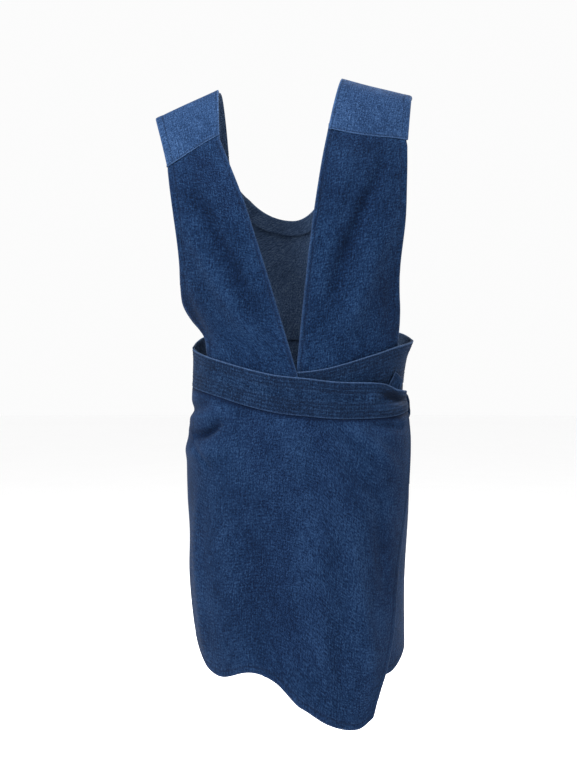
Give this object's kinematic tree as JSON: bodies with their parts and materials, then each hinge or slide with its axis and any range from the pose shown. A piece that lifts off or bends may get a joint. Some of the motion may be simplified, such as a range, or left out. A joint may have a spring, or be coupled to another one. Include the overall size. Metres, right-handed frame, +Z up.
{
  "type": "artist smock apron",
  "caption": "Denim cross-over artist smock with wide shoulder yokes, deep V back, wrap skirt tied at the side and patch pockets in front.",
  "frame": {"origin": "on the wearer's shoulders, midway between the two straps at the height of the higher strap's crest", "axes": "+Z up, +Y the way the wearer faces, +X to the wearer's right, so the back with its deep V faces -Y"},
  "size_m": [0.3958, 0.2801, 0.9759],
  "materials": {
    "denim_yoke": "mid-blue indigo denim twill, a little lighter where it catches light, tonal topstitching",
    "denim_panel": "dark-blue indigo denim twill with a fine pale speckle",
    "denim_band": "dark indigo denim with rows of tonal topstitching and paler worn edges",
    "denim_skirt": "dark indigo denim twill with a fine pale speckle",
    "denim_lining": "the paler wrong side of the denim",
    "button": "dark blue four-hole button, satin",
    "thread": "tonal blue sewing thread"
  },
  "bodies": {
    "garment": {"left_yoke": "denim_yoke", "left_yoke_lining": "denim_lining", "right_yoke": "denim_yoke", "right_yoke_lining": "denim_lining", "left_back_panel": "denim_panel", "left_back_armhole_facing": "denim_lining", "right_back_panel": "denim_panel", "right_back_armhole_facing": "denim_lining", "front_bib": "denim_panel", "left_front_armhole_facing": "denim_lining", "right_front_armhole_facing": "denim_lining", "front_neck_facing": "denim_lining", "waistband_wrap_outer": "denim_band", "waistband_wrap_outer_facing": "denim_lining", "waistband_wrap_under": "denim_band", "waistband_wrap_under_facing": "denim_lining", "waistband_front": "denim_band", "waistband_front_facing": "denim_lining", "skirt_wrap_outer": "denim_skirt", "skirt_wrap_under": "denim_skirt", "skirt_front": "denim_skirt", "right_pocket": "denim_skirt", "left_pocket": "denim_skirt", "tie_knot": "denim_band", "side_tie": "denim_band", "inner_button": "button", "button_thread": "thread"},
    "wrap_corner": {"skirt_wrap_corner": "denim_skirt"},
    "tie_end": {"tie_end": "denim_band"},
    "tie_tail": {"tie_tail": "denim_band"}
  },
  "joints": [
    {"name": "wrap_corner_opens", "type": "hinge", "parent": "garment", "child": "wrap_corner", "pos_m": [0.0684, -0.1632, -0.9711], "axis": [-0.2297, -0.2036, -0.9517], "range_deg": [0, 50]},
    {"name": "tie_end_folds", "type": "hinge", "parent": "garment", "child": "tie_end", "pos_m": [0.1546, -0.074, -0.474], "axis": [0.6283, 0.7779, 0], "range_deg": [0, 70]},
    {"name": "tie_tail_swings", "type": "hinge", "parent": "garment", "child": "tie_tail", "pos_m": [0.1706, 0.0392, -0.5174], "axis": [0.3351, -0.9422, 0], "range_deg": [0, 60]}
  ]
}
